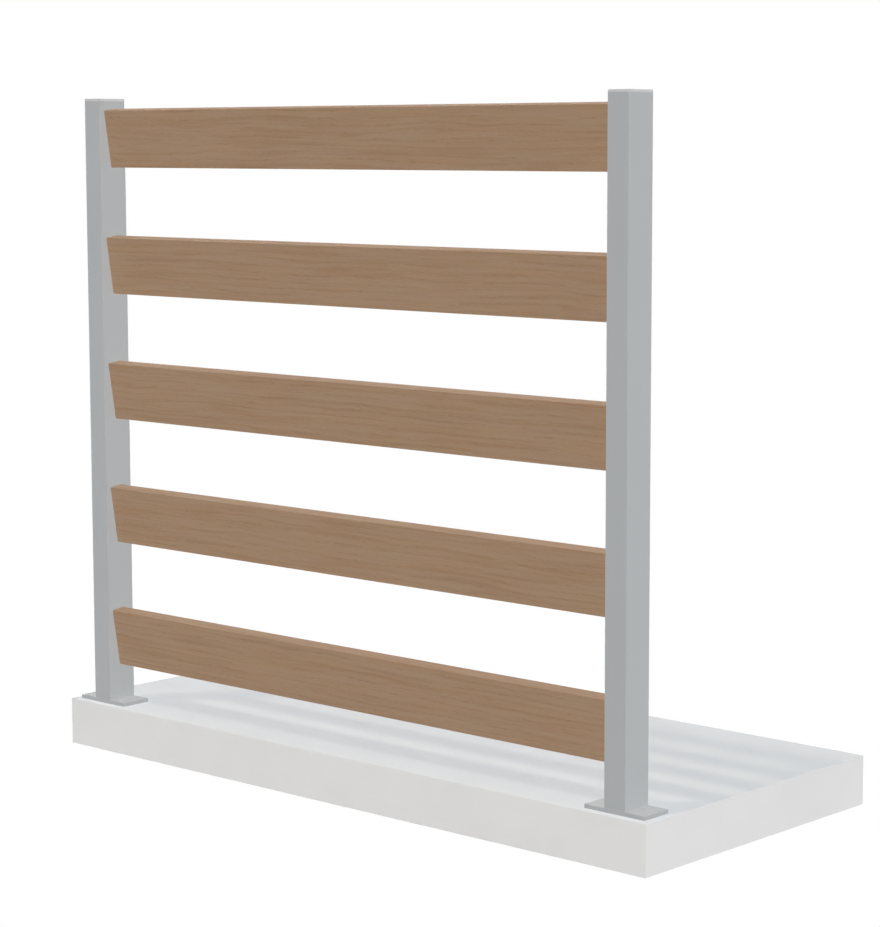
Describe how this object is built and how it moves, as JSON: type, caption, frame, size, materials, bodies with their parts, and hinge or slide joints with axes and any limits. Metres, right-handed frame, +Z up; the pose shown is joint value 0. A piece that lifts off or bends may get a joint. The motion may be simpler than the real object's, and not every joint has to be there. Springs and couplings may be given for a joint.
{
  "type": "garden privacy screen",
  "caption": "Free-standing slatted garden screen: level wooden boards, tilted, held between grey metal posts on flat base plates.",
  "frame": {"origin": "on the ground, midway between the posts and midway through their depth", "axes": "+X along the screen towards the right post seen from the front, +Y to the rear, +Z up; the front, towards which the slats' upper edges lean, faces -Y"},
  "size_m": [2.175, 0.0966, 1.807],
  "materials": {
    "post_coat": "light grey fine matt powder coat on extruded aluminium",
    "cap_plastic": "paler neutral grey moulded plastic, fine matt texture",
    "slat_wood": "planed, matt, oak-like grain running along the board",
    "fixing_steel": "bare stainless steel, hidden brackets and countersunk screws"
  },
  "bodies": {
    "root": {"base_plate_left": "post_coat", "post_left": "post_coat", "post_cap_left": "cap_plastic", "base_screw_left_1": "fixing_steel", "base_screw_left_2": "fixing_steel", "base_screw_left_3": "fixing_steel", "base_screw_left_4": "fixing_steel", "base_plate_right": "post_coat", "post_right": "post_coat", "post_cap_right": "cap_plastic", "base_screw_right_1": "fixing_steel", "base_screw_right_2": "fixing_steel", "base_screw_right_3": "fixing_steel", "base_screw_right_4": "fixing_steel", "slat_1": "slat_wood", "slat_1_bracket_left": "fixing_steel", "slat_1_bracket_left_screw_lower": "fixing_steel", "slat_1_bracket_left_screw_upper": "fixing_steel", "slat_1_locking_screw_left": "fixing_steel", "slat_1_bracket_right": "fixing_steel", "slat_1_bracket_right_screw_lower": "fixing_steel", "slat_1_bracket_right_screw_upper": "fixing_steel", "slat_1_locking_screw_right": "fixing_steel", "slat_2": "slat_wood", "slat_2_bracket_left": "fixing_steel", "slat_2_bracket_left_screw_lower": "fixing_steel", "slat_2_bracket_left_screw_upper": "fixing_steel", "slat_2_locking_screw_left": "fixing_steel", "slat_2_bracket_right": "fixing_steel", "slat_2_bracket_right_screw_lower": "fixing_steel", "slat_2_bracket_right_screw_upper": "fixing_steel", "slat_2_locking_screw_right": "fixing_steel", "slat_3": "slat_wood", "slat_3_bracket_left": "fixing_steel", "slat_3_bracket_left_screw_lower": "fixing_steel", "slat_3_bracket_left_screw_upper": "fixing_steel", "slat_3_locking_screw_left": "fixing_steel", "slat_3_bracket_right": "fixing_steel", "slat_3_bracket_right_screw_lower": "fixing_steel", "slat_3_bracket_right_screw_upper": "fixing_steel", "slat_3_locking_screw_right": "fixing_steel", "slat_4": "slat_wood", "slat_4_bracket_left": "fixing_steel", "slat_4_bracket_left_screw_lower": "fixing_steel", "slat_4_bracket_left_screw_upper": "fixing_steel", "slat_4_locking_screw_left": "fixing_steel", "slat_4_bracket_right": "fixing_steel", "slat_4_bracket_right_screw_lower": "fixing_steel", "slat_4_bracket_right_screw_upper": "fixing_steel", "slat_4_locking_screw_right": "fixing_steel", "slat_5": "slat_wood", "slat_5_bracket_left": "fixing_steel", "slat_5_bracket_left_screw_lower": "fixing_steel", "slat_5_bracket_left_screw_upper": "fixing_steel", "slat_5_locking_screw_left": "fixing_steel", "slat_5_bracket_right": "fixing_steel", "slat_5_bracket_right_screw_lower": "fixing_steel", "slat_5_bracket_right_screw_upper": "fixing_steel", "slat_5_locking_screw_right": "fixing_steel"}
  },
  "joints": []
}
